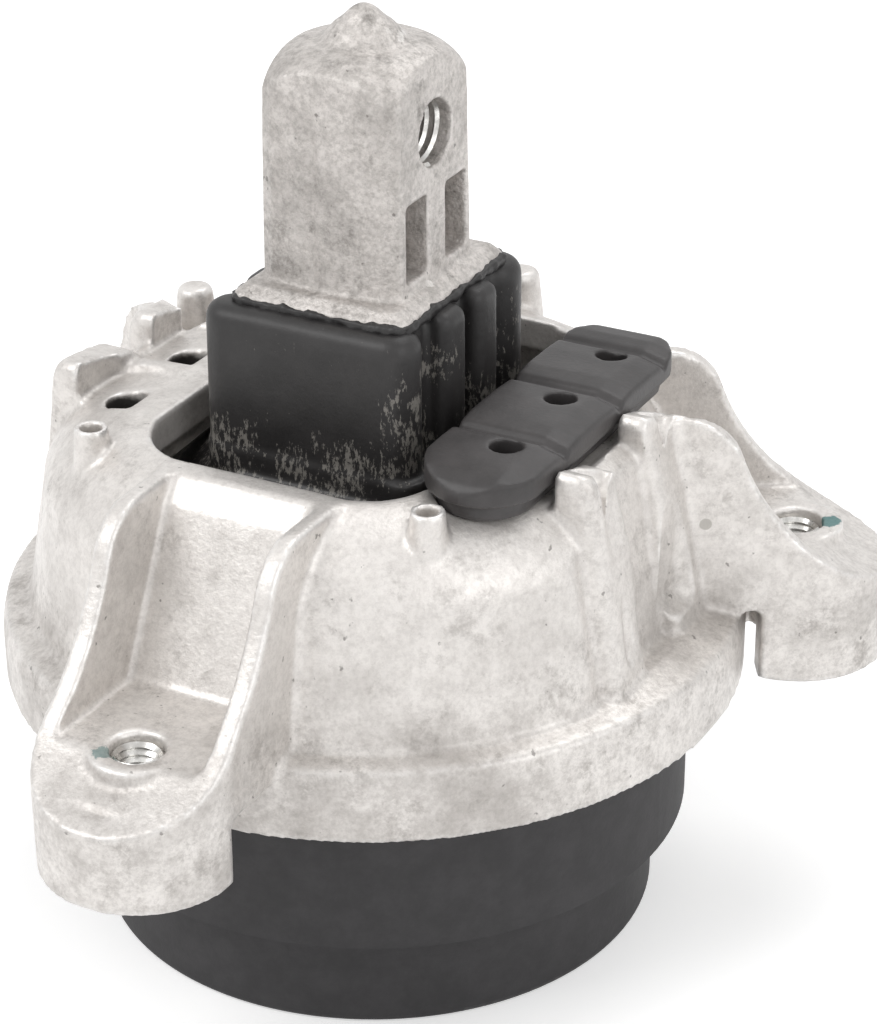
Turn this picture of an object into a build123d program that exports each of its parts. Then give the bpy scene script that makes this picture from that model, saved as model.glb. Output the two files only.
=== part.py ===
from build123d import *
import os

# Hydraulic engine mount with a die-cast housing. Millimetres, Z up.
# The origin is the middle of the can's flat base, on the axis of the mount.
# The threaded hole in the post faces +X, and the first fixing ear points to -Y.

# Base can, a moulded cup with one step.
can_lower_radius = 45.9
can_upper_radius = 51.2
can_step_height = 17.8
can_wall = 2.4
can_floor = 2.6
can_edge_radius = 1.2
can_lip_relief = 0.8
can_lip_gap = 0.2
vent_count = 24
vent_width = 1.3
vent_depth = 0.9

# Skirt of the housing, which takes the can and the hydraulic parts.
skirt_bottom = 42.7
skirt_radius = 60.0
skirt_crease_height = 8.6
skirt_height = 11.6
skirt_draft = 0.7
land_rise = 1.6
bore_clearance = 0.12
bore_depth = 11.4

# Upper body of the housing.
body_radius = 55.7
body_half_width = 50.0
body_draft = 9.5
body_corner_radius = 9.0
rim_height = 88.0
rim_edge_radius = 5.0
shoulder_radius = 18.0
shoulder_centre = 35.2
root_radius = 2.2
plate_thickness = 6.0
ring_seat_height = 8.0
cavity_top_radius = 39.5
opening_half_width = 24.0
opening_front = 34.5
opening_rear = 37.0
opening_corner_radius = 11.5

# Trough under the strip, the three pockets on the other side, and the D-shaped holes in both.
trough_depth = 2.0
trough_reach = 41.0
trough_front = 25.5
trough_rear = 24.5
trough_corner_radius = 4.0
side_pockets = ((-23.0, -7.8), (-4.9, 11.9), (13.9, 25.1))
side_pocket_outer = 42.0
side_pocket_inner = 27.0
side_pocket_depth = 2.6
d_hole_x = 33.4
d_hole_first_y = -18.6
d_hole_pitch = 18.3
d_hole_count = 3
d_hole_radius = 3.6
d_hole_flat = 1.9

# Buttresses outside the troughs, with the side, the first place and the width of each row.
buttress_rows = ((1, -14.6, 10.5), (-1, -12.4, 15.6))
buttress_pitch = 22.2
buttress_count = 2
buttress_inner_x = 41.0
buttress_foot_x = 52.8
buttress_shoulder_x = 48.4
buttress_shoulder_drop = 6.0
buttress_top_x = 43.6
buttress_rise = 3.6
buttress_fall = 3.2
buttress_edge_radius = 2.4

# Fixing ears: name, angle, distance of the hole, height of the seat and inward reach of the leg's sides.
ears = (
    ("front", -90.0, 70.0, 60.6, 0.4),
    ("right", 30.0, 68.3, 63.4, 7.4),
    ("left", 150.0, 68.3, 63.4, 7.4),
)
ear_tip_drop = 6.0
ear_radius = 15.5
ear_foot_drop = 0.8
ear_half_width = 15.2
ear_rib_width = 3.2
ear_root = 36.0
ear_crest = 48.0
ear_knee = 56.8
ear_knee_height = 82.2
ear_sweep = 64.2
ear_sweep_height = 69.2
ear_back_edge = 38.8
ear_back_top = 42.3
ear_back_top_height = 84.3
ear_back_foot = 54.4
ear_pad_length = 7.6
ear_pad_step = 1.0
ear_lip_drop = 0.5
ear_floor = 8.6
leg_wall = 3.8
insert_boss_radius = 7.4
insert_boss_drop = 3.0

# Cored bosses on the front of the rim and lugs on its rear.
tube_boss_places = ((28.6, -35.2), (-30.0, -34.0))
tube_boss_top = 89.4
tube_boss_height = 12.0
tube_boss_top_radius = 2.6
tube_boss_foot_radius = 3.5
tube_boss_bore = 1.7
tube_boss_bore_depth = 5.0
lugs = ((3.0, 46.5, 74.0, 92.0), (-46.8, 22.6, 63.0, 88.4))
lug_foot_radius = 4.8
lug_top_radius = 3.0
lug_edge_radius = 1.4

# Wire thread inserts in the ears, M8.
insert_outer_radius = 4.15
insert_inner_radius = 3.32
insert_length = 12.0
insert_inset = 0.6

# Core: the post with its foot, cast in one piece with the cone in the rubber.
core_foot_bottom = 107.0
core_foot_height = 2.6
core_foot_half_x = 15.0
core_foot_half_y = 17.6
core_foot_corner = 2.6
core_foot_bevel = 1.7
core_foot_bevel_angle = 50.0
post_y = -0.7
post_half_x = 12.1
post_half_y = 13.5
post_crown = 0.9
post_crown_x = 9.4
post_corner_y = 11.0
post_draft = 0.8
post_tip_height = 151.0
post_nub_radius = 4.4
post_nub_height = 2.9
post_shoulder_radius = 9.5
post_shoulder_drop = 2.6
post_cap_radius = 16.4
bolt_height = 132.5
bolt_y = -0.4
bolt_minor_radius = 5.2
bolt_mouth_radius = 5.6
bolt_depth = 20.0
pocket_width = 6.8
pocket_spacing = 12.4
pocket_bottom = 111.4
pocket_top = 123.8
pocket_depth = 8.0
pocket_draft = 4.0
cone_top_half_x = 13.0
cone_top_half_y = 15.0
cone_bottom_half_x = 8.0
cone_bottom_half_y = 9.0
cone_bottom = 72.0

# Main rubber spring: the block with its ribs and the conical spring below.
block_half_x = 14.4
block_half_y = 21.0
block_corner_radius = 4.2
block_top_radius = 2.8
rib_half_x = 18.2
rib_width = 7.0
rib_pitch = 10.6
rib_count = 2
rib_corner_radius = 2.2
rib_top_radius = 1.9
end_slab_x = -0.8
end_slab_half_x = 18.0
end_slab_width = 8.6
groove_bottom = 84.0
neck_half_x = 19.0
neck_half_y = 21.4
neck_height = 4.0
spring_top_radius = 25.0
spring_hollow_radius = 33.0
spring_hollow_top_radius = 20.0
spring_hollow_top = 68.0

# Ring bonded round the spring, and the hydraulic stack below it.
ring_radius = 46.0
ring_wall = 2.0
ring_flange = 1.5
channel_plate_thickness = 2.8
membrane_radius = 24.0
membrane_thickness = 2.0
membrane_play = 0.2
channel_radius = 36.0
channel_width = 7.0
channel_depth = 1.5
channel_wall_angle = 20.0
channel_port_radius = 2.8
channel_port_angle = 16.0
grid_hole_radius = 2.2
grid_rings = ((7.6, 6), (15.2, 12))
bellows_rim = 2.2
bellows_rim_width = 6.0
bellows_wall = 1.6
bellows_depth = 20.0
bellows_fold = 6.0
bellows_hub_radius = 4.0
bellows_hub = 2.6
bellows_ring_width = 3.0
bellows_ring_height = 1.0

# Buffer strip on the +X side.
strip_x = 31.6
strip_y = -0.4
strip_width = 18.2
strip_length = 62.4
strip_valley = 92.6
strip_crown = 94.0
strip_end_height = 92.0
strip_groove_radius = 0.8
strip_groove_offset = 4.0
strip_foot_height = 3.2
strip_foot_inset = 1.6
strip_clearance = 0.3
strip_hole_x = 32.8
strip_hole_radius = 2.5
strip_hole_depth = 7.0
plug_clearance = 0.15
plug_length = 5.0

# Heights and radii that follow from the dimensions above.
land_height = skirt_bottom + skirt_height + land_rise
can_lip_height = skirt_bottom - can_lip_gap
stack_radius = can_upper_radius - can_lip_relief
bore_radius = stack_radius + bore_clearance
stack_top = skirt_bottom + bore_depth
ear_foot = skirt_bottom - ear_foot_drop
trough_floor = rim_height - trough_depth
cavity_ceiling = rim_height - plate_thickness
ring_top = stack_top + ring_seat_height
ring_inner_radius = ring_radius - ring_wall
core_foot_top = core_foot_bottom + core_foot_height
cap_start = post_tip_height - post_nub_height - post_shoulder_drop
upper_plate_top = stack_top - ring_flange
plate_joint = upper_plate_top - channel_plate_thickness
lower_plate_bottom = plate_joint - channel_plate_thickness
can_top = lower_plate_bottom - bellows_rim
bellows_inner_radius = stack_radius - bellows_rim_width
strip_front = strip_y - strip_length / 2
strip_rear = strip_y + strip_length / 2
d_hole_ys = [d_hole_first_y + number * d_hole_pitch for number in range(d_hole_count)]

os.makedirs("parts", exist_ok=True)


def ear_blank(distance, seat_height, leg_back):
    """One ear along +X: a block with a swept top edge, hollow below its floor."""
    tip = distance + ear_radius
    tip_height = seat_height - ear_tip_drop
    hollow_height = seat_height - ear_floor - ear_foot
    with BuildPart() as blank:
        with BuildSketch(Plane.XY.offset(ear_foot)):
            with Locations((distance, 0)):
                Circle(ear_radius)
        extrude(amount=rim_height - ear_foot)
        with BuildSketch(Plane.XY.offset(skirt_bottom)):
            with Locations((ear_root, 0)):
                Rectangle(distance - ear_root, 2 * ear_half_width, align=(Align.MIN, Align.CENTER))
        extrude(amount=rim_height - skirt_bottom)
        with BuildSketch(Plane.XZ):
            with BuildLine():
                Line((ear_root, rim_height), (ear_crest, rim_height))
                TangentArc((ear_crest, rim_height), (ear_knee, ear_knee_height), tangent=(1, 0))
                ThreePointArc(
                    (ear_knee, ear_knee_height), (ear_sweep, ear_sweep_height), (tip, tip_height)
                )
                Polyline(
                    (tip, tip_height),
                    (tip, ear_foot),
                    (ear_root, ear_foot),
                    (ear_root, rim_height),
                )
            make_face()
        extrude(amount=ear_radius, both=True, mode=Mode.INTERSECT)
        with BuildSketch(Plane.XY.offset(ear_foot)):
            with Locations((distance, 0)):
                Circle(ear_radius - leg_wall)
        extrude(amount=hollow_height, mode=Mode.SUBTRACT)
        with BuildSketch(Plane.XZ):
            with Locations((ear_root, ear_foot)):
                Rectangle(
                    distance - leg_back - ear_root, hollow_height, align=(Align.MIN, Align.MIN)
                )
        extrude(amount=ear_radius, both=True, mode=Mode.SUBTRACT)
        with Locations((distance, 0, seat_height)):
            Cylinder(
                insert_boss_radius,
                seat_height - skirt_bottom - insert_boss_drop,
                align=(Align.CENTER, Align.CENTER, Align.MAX),
            )
    return blank.part


def ear_pocket(distance, seat_height):
    """The pocket that leaves an ear its seat, its two swept ribs and the lip between them."""
    pad_front = distance + ear_pad_length
    lip = distance + ear_radius - ear_rib_width
    with BuildPart() as pocket:
        with BuildSketch(Plane.XY.offset(skirt_bottom)):
            with Locations((distance, 0)):
                Circle(ear_radius - ear_rib_width)
                Rectangle(
                    distance - ear_back_edge,
                    2 * (ear_half_width - ear_rib_width),
                    align=(Align.MAX, Align.CENTER),
                )
        extrude(amount=rim_height - skirt_bottom + plate_thickness)
        with BuildSketch(Plane.XZ):
            with BuildLine():
                Polyline(
                    (ear_back_edge, rim_height),
                    (ear_back_top, ear_back_top_height),
                    (ear_back_foot, seat_height),
                    (pad_front, seat_height),
                    (pad_front + ear_pad_step, seat_height - ear_pad_step),
                    (lip, seat_height - ear_tip_drop - ear_lip_drop),
                    (lip, rim_height + plate_thickness),
                    (ear_back_edge, rim_height + plate_thickness),
                    close=True,
                )
            make_face()
        extrude(amount=ear_radius, both=True, mode=Mode.INTERSECT)
    return pocket.part


def buttress(side, width):
    """One buttress from its side profile, with a soft front edge and a top that falls rearwards."""
    foot_z = land_height - root_radius
    with BuildPart() as prop:
        with BuildSketch(Plane.XZ):
            with BuildLine():
                Polyline(
                    (buttress_top_x, rim_height + buttress_rise),
                    (buttress_inner_x, rim_height + buttress_rise),
                    (buttress_inner_x, foot_z),
                    (buttress_foot_x, foot_z),
                    (buttress_shoulder_x, rim_height - buttress_shoulder_drop),
                )
                Spline(
                    (buttress_shoulder_x, rim_height - buttress_shoulder_drop),
                    (buttress_top_x, rim_height + buttress_rise),
                    tangents=((-0.16, 1), (-1, 0)),
                )
            make_face()
        extrude(amount=width / 2, both=True)
        side_edges = prop.faces().sort_by(Axis.X)[-2:].edges().filter_by(Axis.Y, reverse=True)
        fillet(side_edges.group_by(Axis.Y)[0], buttress_edge_radius)
        with BuildSketch(Plane.YZ):
            with BuildLine():
                Polyline(
                    (-width / 2, foot_z),
                    (width / 2, foot_z),
                    (width / 2, rim_height + buttress_rise - buttress_fall),
                    (-width / 2, rim_height + buttress_rise),
                    close=True,
                )
            make_face()
        extrude(amount=buttress_foot_x, mode=Mode.INTERSECT)
        if side < 0:
            mirror(about=Plane.YZ, mode=Mode.REPLACE)
    return prop.part


# The three pockets on the -X side, with floors that slope down outwards.
with BuildPart() as side_pocket_row:
    with BuildSketch(Plane.XY.offset(rim_height - side_pocket_depth)):
        for front_y, rear_y in side_pockets:
            with Locations((-(side_pocket_outer + side_pocket_inner) / 2, (front_y + rear_y) / 2)):
                RectangleRounded(
                    side_pocket_outer - side_pocket_inner, rear_y - front_y, trough_corner_radius
                )
    extrude(amount=side_pocket_depth + buttress_rise)
    with BuildSketch(Plane.XZ):
        with BuildLine():
            Polyline(
                (-side_pocket_outer, rim_height - side_pocket_depth),
                (-side_pocket_inner, rim_height),
                (-side_pocket_inner, rim_height + buttress_rise),
                (-side_pocket_outer, rim_height + buttress_rise),
                close=True,
            )
        make_face()
    extrude(amount=body_radius, both=True, mode=Mode.INTERSECT)


# Housing, one die casting.
with BuildPart() as housing:
    # Skirt with two bands and a sloping land up to the body.
    with BuildSketch(Plane.XZ):
        with BuildLine():
            Polyline(
                (0, skirt_bottom),
                (skirt_radius, skirt_bottom),
                (skirt_radius, skirt_bottom + skirt_crease_height),
                (skirt_radius - skirt_draft, skirt_bottom + skirt_height),
                (body_radius - root_radius, land_height),
                (0, land_height),
                close=True,
            )
        make_face()
    revolve(axis=Axis.Z)

    # Body with two flat sides, drafted towards the rim.
    with BuildSketch(Plane.XY.offset(land_height - root_radius)) as body_plan:
        Circle(body_radius)
        Rectangle(2 * body_half_width, 2 * body_radius, mode=Mode.INTERSECT)
        fillet(body_plan.vertices(), body_corner_radius)
    extrude(amount=rim_height - land_height + root_radius, taper=body_draft)
    fillet(housing.faces().sort_by(Axis.Z)[-1].edges(), rim_edge_radius)

    # Wide round shoulder at the front and the rear.
    with BuildSketch(Plane.XZ):
        with Locations((shoulder_centre, rim_height - shoulder_radius)):
            Rectangle(skirt_radius, shoulder_radius + rim_edge_radius, align=(Align.MIN, Align.MIN))
            Circle(shoulder_radius, mode=Mode.SUBTRACT)
    revolve(axis=Axis.Z, mode=Mode.SUBTRACT)

    # Buttresses on both sides.
    for side, first_y, width in buttress_rows:
        for number in range(buttress_count):
            with Locations((0, first_y + number * buttress_pitch, 0)):
                add(buttress(side, width))

    # Ears.
    for name, angle, distance, seat_height, leg_back in ears:
        add(ear_blank(distance, seat_height, leg_back), rotation=(0, 0, angle))
    for name, angle, distance, seat_height, leg_back in ears:
        add(ear_pocket(distance, seat_height), rotation=(0, 0, angle), mode=Mode.SUBTRACT)
        with Locations(Rotation(0, 0, angle) * Pos(distance, 0, seat_height)):
            Hole(insert_outer_radius)

    # Bore for the hydraulic stack and the cavity above it.
    with BuildSketch(Plane.XZ):
        with BuildLine():
            Polyline(
                (0, skirt_bottom),
                (bore_radius, skirt_bottom),
                (bore_radius, stack_top),
                (ring_radius, stack_top),
                (ring_radius, ring_top),
                (cavity_top_radius, cavity_ceiling),
                (0, cavity_ceiling),
                close=True,
            )
        make_face()
    revolve(axis=Axis.Z, mode=Mode.SUBTRACT)

    # Opening in the rim.
    with BuildSketch(Plane.XY.offset(cavity_ceiling - root_radius)):
        with Locations((0, (opening_rear - opening_front) / 2)):
            RectangleRounded(
                2 * opening_half_width, opening_front + opening_rear, opening_corner_radius
            )
    extrude(amount=plate_thickness + 2 * root_radius, mode=Mode.SUBTRACT)

    # Trough under the strip, and the pockets on the other side of the opening.
    add(side_pocket_row.part, mode=Mode.SUBTRACT)
    with BuildSketch(Plane.XY.offset(trough_floor)):
        with Locations((trough_reach / 2, (trough_rear - trough_front) / 2)):
            RectangleRounded(trough_reach, trough_front + trough_rear, trough_corner_radius)
        with Locations((strip_x, strip_y)):
            SlotOverall(
                strip_length - 2 * (strip_foot_inset - strip_clearance),
                strip_width - 2 * (strip_foot_inset - strip_clearance),
                rotation=90,
            )
    extrude(amount=trough_depth + 2 * buttress_rise, mode=Mode.SUBTRACT)

    # D-shaped holes in the trough and the pockets, flat towards the opening.
    with BuildSketch(Plane.XY.offset(rim_height)):
        for side in (1, -1):
            for d_hole_y in d_hole_ys:
                with Locations((side * d_hole_x, d_hole_y)):
                    Circle(d_hole_radius)
        Rectangle(2 * (d_hole_x - d_hole_flat), 2 * body_radius, mode=Mode.SUBTRACT)
    extrude(amount=-plate_thickness - root_radius, mode=Mode.SUBTRACT)

    # Cored bosses at the front corners of the rim.
    for place in tube_boss_places:
        with Locations((*place, tube_boss_top - tube_boss_height)):
            Cone(
                tube_boss_foot_radius,
                tube_boss_top_radius,
                tube_boss_height,
                align=(Align.CENTER, Align.CENTER, Align.MIN),
            )
        with Locations((*place, tube_boss_top)):
            Hole(tube_boss_bore, depth=tube_boss_bore_depth)

    # Lugs on the rear of the rim.
    for lug_x, lug_y, lug_foot, lug_top in lugs:
        with Locations((lug_x, lug_y, lug_foot)):
            Cone(
                lug_foot_radius,
                lug_top_radius,
                lug_top - lug_foot,
                align=(Align.CENTER, Align.CENTER, Align.MIN),
            )
        fillet(housing.edges().filter_by_position(Axis.Z, lug_top, lug_top), lug_edge_radius)
housing.part.label = "housing"
export_step(housing.part, "parts/housing.step")


# Wire thread inserts, one in each ear.
for name, angle, distance, seat_height, leg_back in ears:
    with BuildPart() as insert:
        with BuildSketch(Plane.XY.offset(seat_height - insert_inset).rotated((0, 0, angle))):
            with Locations((distance, 0)):
                Circle(insert_outer_radius)
                Circle(insert_inner_radius, mode=Mode.SUBTRACT)
        extrude(amount=-insert_length)
    insert.part.label = f"insert_{name}"
    export_step(insert.part, f"parts/insert_{name}.step")


# Core: foot, post with crowned faces, and the cone that the rubber holds.
with BuildPart() as core:
    with BuildSketch(Plane((0, post_y, core_foot_top - core_foot_bevel))):
        with BuildLine():
            Polyline(
                (0, -post_half_y),
                (post_crown_x, post_crown - post_half_y),
                (post_half_x, -post_corner_y),
                (post_half_x, 0),
            )
            mirror(about=Plane.YZ)
            mirror(about=Plane.XZ)
        make_face()
    extrude(amount=post_tip_height - core_foot_top + core_foot_bevel, taper=post_draft)
    with BuildSketch(Plane.XZ.offset(-post_y)):
        with BuildLine():
            Polyline(
                (0, post_tip_height),
                (0, 0),
                (post_cap_radius, 0),
                (post_cap_radius, cap_start - post_shoulder_radius),
            )
            RadiusArc(
                (post_cap_radius, cap_start - post_shoulder_radius),
                (post_cap_radius - post_shoulder_radius, cap_start),
                -post_shoulder_radius,
            )
            Line(
                (post_cap_radius - post_shoulder_radius, cap_start),
                (post_nub_radius, post_tip_height - post_nub_height),
            )
            Spline(
                (post_nub_radius, post_tip_height - post_nub_height),
                (0, post_tip_height),
                tangents=((-1, 0.5), (-1, 0.1)),
            )
        make_face()
    revolve(axis=Axis((0, post_y, 0), (0, 0, 1)), mode=Mode.INTERSECT)
    with BuildSketch(Plane.XY.offset(core_foot_bottom)):
        RectangleRounded(2 * core_foot_half_x, 2 * core_foot_half_y, core_foot_corner)
    extrude(amount=core_foot_height - core_foot_bevel)
    with BuildSketch(Plane.XY.offset(core_foot_top - core_foot_bevel)):
        RectangleRounded(2 * core_foot_half_x, 2 * core_foot_half_y, core_foot_corner)
    extrude(amount=core_foot_bevel, taper=core_foot_bevel_angle)
    with BuildSketch(Plane.XY.offset(core_foot_bottom)):
        Rectangle(2 * cone_top_half_x, 2 * cone_top_half_y)
    with BuildSketch(Plane.XY.offset(cone_bottom)):
        Rectangle(2 * cone_bottom_half_x, 2 * cone_bottom_half_y)
    loft()

    # Threaded hole, drawn with a plain bore, and the two pockets below it.
    with Locations(Plane((post_half_x, bolt_y, bolt_height), z_dir=(1, 0, 0))):
        CounterSinkHole(bolt_minor_radius, bolt_mouth_radius, depth=bolt_depth)
    for side in (1, -1):
        with BuildSketch(Plane.YZ.offset(post_half_x)):
            with Locations((bolt_y + side * pocket_spacing / 2, (pocket_bottom + pocket_top) / 2)):
                Rectangle(pocket_width, pocket_top - pocket_bottom)
        extrude(amount=-pocket_depth, taper=pocket_draft, mode=Mode.SUBTRACT)
core.part.label = "core"
export_step(core.part, "parts/core.step")


# One cross rib of the rubber block, and one of its two wider end slabs.
with BuildPart() as rib:
    with BuildSketch(Plane.XY.offset(groove_bottom)):
        RectangleRounded(2 * rib_half_x, rib_width, rib_corner_radius)
    extrude(amount=core_foot_bottom - groove_bottom)
    fillet(rib.faces().sort_by(Axis.Z)[-1].edges(), rib_top_radius)

with BuildPart() as end_slab:
    with BuildSketch(Plane.XY.offset(groove_bottom)):
        RectangleRounded(2 * end_slab_half_x, end_slab_width, block_corner_radius)
    extrude(amount=core_foot_bottom - groove_bottom)
    fillet(end_slab.faces().sort_by(Axis.Z)[-1].edges(), block_top_radius)


# Rubber spring: ribbed block, neck and cone, bonded to the core and the ring.
with BuildPart() as main_spring:
    with BuildSketch(Plane.XY.offset(groove_bottom)):
        RectangleRounded(2 * block_half_x, 2 * block_half_y, block_corner_radius)
    extrude(amount=core_foot_bottom - groove_bottom)
    fillet(main_spring.faces().sort_by(Axis.Z)[-1].edges(), block_top_radius)
    with GridLocations(0, rib_pitch, 1, rib_count):
        add(rib.part)
    for side in (1, -1):
        with Locations((end_slab_x, side * (block_half_y - end_slab_width / 2), 0)):
            add(end_slab.part)
    with BuildSketch(Plane.XY.offset(groove_bottom)):
        RectangleRounded(2 * neck_half_x, 2 * neck_half_y, block_corner_radius)
    extrude(amount=-neck_height)
    with BuildSketch(Plane.XZ):
        with BuildLine():
            Polyline(
                (0, groove_bottom - neck_height),
                (spring_top_radius, groove_bottom - neck_height),
                (ring_inner_radius, ring_top),
                (ring_inner_radius, upper_plate_top),
                (spring_hollow_radius, upper_plate_top),
                (spring_hollow_top_radius, spring_hollow_top),
                (0, spring_hollow_top),
                close=True,
            )
        make_face()
    revolve(axis=Axis.Z)
    add(core.part, mode=Mode.SUBTRACT)
main_spring.part.label = "main_spring"
export_step(main_spring.part, "parts/main_spring.step")


# Pressed ring that the spring is bonded to, with a flange below.
with BuildPart() as spring_ring:
    with BuildSketch(Plane.XZ):
        with BuildLine():
            Polyline(
                (ring_inner_radius, upper_plate_top),
                (stack_radius, upper_plate_top),
                (stack_radius, stack_top),
                (ring_radius, stack_top),
                (ring_radius, ring_top),
                (ring_inner_radius, ring_top),
                close=True,
            )
        make_face()
    revolve(axis=Axis.Z)
spring_ring.part.label = "spring_ring"
export_step(spring_ring.part, "parts/spring_ring.step")


# Channel plate in two halves, with the channel and the membrane's seat at their joint.
for name, outwards in (("upper_channel_plate", 1), ("lower_channel_plate", -1)):
    with BuildPart() as channel_plate:
        with BuildSketch(Plane.XY.offset(plate_joint)):
            Circle(stack_radius)
        extrude(amount=outwards * channel_plate_thickness)
        with BuildSketch(Plane.XY.offset(plate_joint)):
            SlotArc(
                CenterArc((0, 0), channel_radius, channel_wall_angle / 2, 360 - channel_wall_angle),
                channel_width,
            )
        extrude(amount=outwards * channel_depth, mode=Mode.SUBTRACT)
        with BuildSketch(Plane.XY.offset(plate_joint)):
            Circle(membrane_radius + membrane_play)
        extrude(amount=outwards * (membrane_thickness / 2 + membrane_play), mode=Mode.SUBTRACT)
        with BuildSketch(Plane.XY.offset(plate_joint)):
            Circle(grid_hole_radius)
            for ring_size, hole_count in grid_rings:
                with PolarLocations(ring_size, hole_count):
                    Circle(grid_hole_radius)
            with PolarLocations(channel_radius, 1, start_angle=outwards * channel_port_angle):
                Circle(channel_port_radius)
        extrude(amount=outwards * channel_plate_thickness, mode=Mode.SUBTRACT)
    channel_plate.part.label = name
    export_step(channel_plate.part, f"parts/{name}.step")


# Loose membrane between the two halves of the channel plate.
with BuildPart() as decoupler_membrane:
    with BuildSketch(Plane.XY.offset(plate_joint - membrane_thickness / 2)):
        Circle(membrane_radius)
    extrude(amount=membrane_thickness)
    fillet(decoupler_membrane.edges().filter_by(GeomType.CIRCLE), membrane_play)
decoupler_membrane.part.label = "decoupler_membrane"
export_step(decoupler_membrane.part, "parts/decoupler_membrane.step")


# Stiffening ring in the rim of the bellows.
with BuildPart() as bellows_ring:
    with BuildSketch(Plane.XY.offset(can_top + (bellows_rim - bellows_ring_height) / 2)):
        Circle(bellows_inner_radius + (bellows_rim_width + bellows_ring_width) / 2)
        Circle(bellows_inner_radius + (bellows_rim_width - bellows_ring_width) / 2, mode=Mode.SUBTRACT)
    extrude(amount=bellows_ring_height)
bellows_ring.part.label = "bellows_ring"
export_step(bellows_ring.part, "parts/bellows_ring.step")


# Rolling rubber bellows that closes the fluid chamber.
with BuildPart() as bellows:
    with BuildSketch(Plane.XZ):
        with Locations((bellows_inner_radius, can_top)):
            Rectangle(bellows_rim_width, bellows_rim, align=(Align.MIN, Align.MIN))
        with BuildLine():
            FilletPolyline(
                (bellows_inner_radius + bellows_wall, can_top + bellows_rim / 2),
                (bellows_inner_radius - bellows_fold, can_top - bellows_depth),
                (bellows_inner_radius / 2, can_top - bellows_depth + 2 * bellows_fold),
                (bellows_hub_radius, can_top - bellows_depth + bellows_fold),
                radius=bellows_fold / 2,
            )
        trace(line_width=bellows_wall)
        with Locations((0, can_top - bellows_depth + bellows_fold)):
            Rectangle(bellows_hub_radius + bellows_wall, bellows_hub, align=(Align.MIN, Align.CENTER))
    revolve(axis=Axis.Z)
    add(bellows_ring.part, mode=Mode.SUBTRACT)
bellows.part.label = "bellows"
export_step(bellows.part, "parts/bellows.step")


# Base can with one step and a ring of small vents under it.
with BuildPart() as base_can:
    with BuildSketch(Plane.XZ):
        with BuildLine():
            Polyline(
                (0, 0),
                (can_lower_radius, 0),
                (can_lower_radius, can_step_height),
                (can_upper_radius, can_step_height),
                (can_upper_radius, can_lip_height),
                (stack_radius, can_lip_height),
                (stack_radius, can_top),
                (can_upper_radius - can_wall, can_top),
                (can_upper_radius - can_wall, can_step_height + can_wall),
                (can_lower_radius - can_wall, can_step_height + can_wall),
                (can_lower_radius - can_wall, can_floor),
                (0, can_floor),
                close=True,
            )
        make_face()
    revolve(axis=Axis.Z)
    fillet(base_can.edges().filter_by(GeomType.CIRCLE).group_by(Axis.Z)[0], can_edge_radius)
    with PolarLocations(can_lower_radius, vent_count):
        with Locations((0, 0, can_step_height)):
            Box(
                2 * vent_depth,
                vent_width,
                vent_width,
                align=(Align.CENTER, Align.CENTER, Align.MAX),
                mode=Mode.SUBTRACT,
            )
base_can.part.label = "base_can"
export_step(base_can.part, "parts/base_can.step")


# Rubber strip with waves on top and plugs that go into the D-shaped holes.
with BuildPart() as buffer_strip:
    with BuildSketch(Plane.XY.offset(trough_floor + strip_foot_height)):
        with Locations((strip_x, strip_y)):
            SlotOverall(strip_length, strip_width, rotation=90)
    extrude(amount=strip_crown - trough_floor - strip_foot_height)
    with BuildSketch(Plane.YZ):
        with BuildLine():
            wave = [(strip_front, strip_end_height)]
            before = strip_front
            for valley_y, after in zip(d_hole_ys, d_hole_ys[1:] + [strip_rear]):
                wave += [((before + valley_y) / 2, strip_crown), (valley_y, strip_valley)]
                before = valley_y
            wave += [((before + strip_rear) / 2, strip_crown), (strip_rear, strip_end_height)]
            Spline(*wave)
            Polyline(
                (strip_rear, strip_end_height),
                (strip_rear, trough_floor),
                (strip_front, trough_floor),
                (strip_front, strip_end_height),
            )
        make_face()
    extrude(amount=strip_x + strip_width, mode=Mode.INTERSECT)
    with BuildSketch(Plane.XY.offset(trough_floor)):
        with Locations((strip_x, strip_y)):
            SlotOverall(
                strip_length - 2 * strip_foot_inset, strip_width - 2 * strip_foot_inset, rotation=90
            )
    extrude(amount=strip_foot_height)
    with BuildSketch(Plane.XY.offset(trough_floor)):
        for d_hole_y in d_hole_ys:
            with Locations((d_hole_x, d_hole_y)):
                Circle(d_hole_radius - plug_clearance)
        Rectangle(
            2 * (d_hole_x - d_hole_flat + plug_clearance), 2 * body_radius, mode=Mode.SUBTRACT
        )
    extrude(amount=-plug_length)
    for d_hole_y in d_hole_ys:
        with Locations((strip_hole_x, d_hole_y, strip_valley)):
            Hole(strip_hole_radius, depth=strip_hole_depth)
        with Locations((strip_x, d_hole_y + strip_groove_offset, strip_crown)):
            Cylinder(
                strip_groove_radius, 2 * strip_width, rotation=(0, 90, 0), mode=Mode.SUBTRACT
            )
buffer_strip.part.label = "buffer_strip"
export_step(buffer_strip.part, "parts/buffer_strip.step")
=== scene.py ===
# %% [markdown]
# # A hydraulic engine mount
# The mount is a die-cast housing with three fixing ears, a ribbed rubber block in its opening, a cast post
# on the block, a rubber strip on the rim and a moulded can below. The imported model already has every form
# at its real size. This lesson turns those forms into castings, rubber and plastic, piece by piece.

# %% Load the frame
import math

import bpy
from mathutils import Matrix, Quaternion, Vector


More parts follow.
